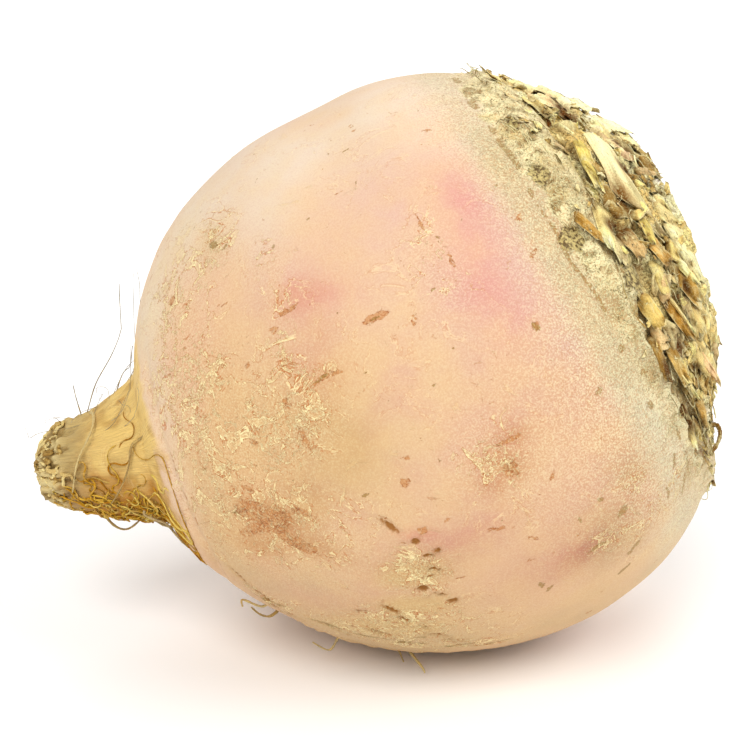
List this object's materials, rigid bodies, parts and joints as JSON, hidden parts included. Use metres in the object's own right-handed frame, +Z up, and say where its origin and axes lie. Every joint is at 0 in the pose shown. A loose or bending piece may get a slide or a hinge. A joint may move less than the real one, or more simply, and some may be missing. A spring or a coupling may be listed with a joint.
{
  "type": "turnip",
  "caption": "Pink-blushed turnip root lying on its side, with an ochre tail, fine rootlets and a trimmed head of dry, torn leaf bases",
  "frame": {"origin": "centre of the flat spot under the belly that the root rests on", "axes": "+Z up, +X from the tail towards the crown, Y across"},
  "size_m": [0.1431, 0.1215, 0.1195],
  "materials": {
    "root_skin": "thin dry vegetable skin, semi-matt, peach and cream with a pink blush, corky tan patches and an ochre tail",
    "leaf_base_fibre": "dry fibrous straw and olive-brown leaf stalk, matt"
  },
  "bodies": {
    "root": {"root": "root_skin", "leaf_bases": "leaf_base_fibre"}
  },
  "joints": []
}
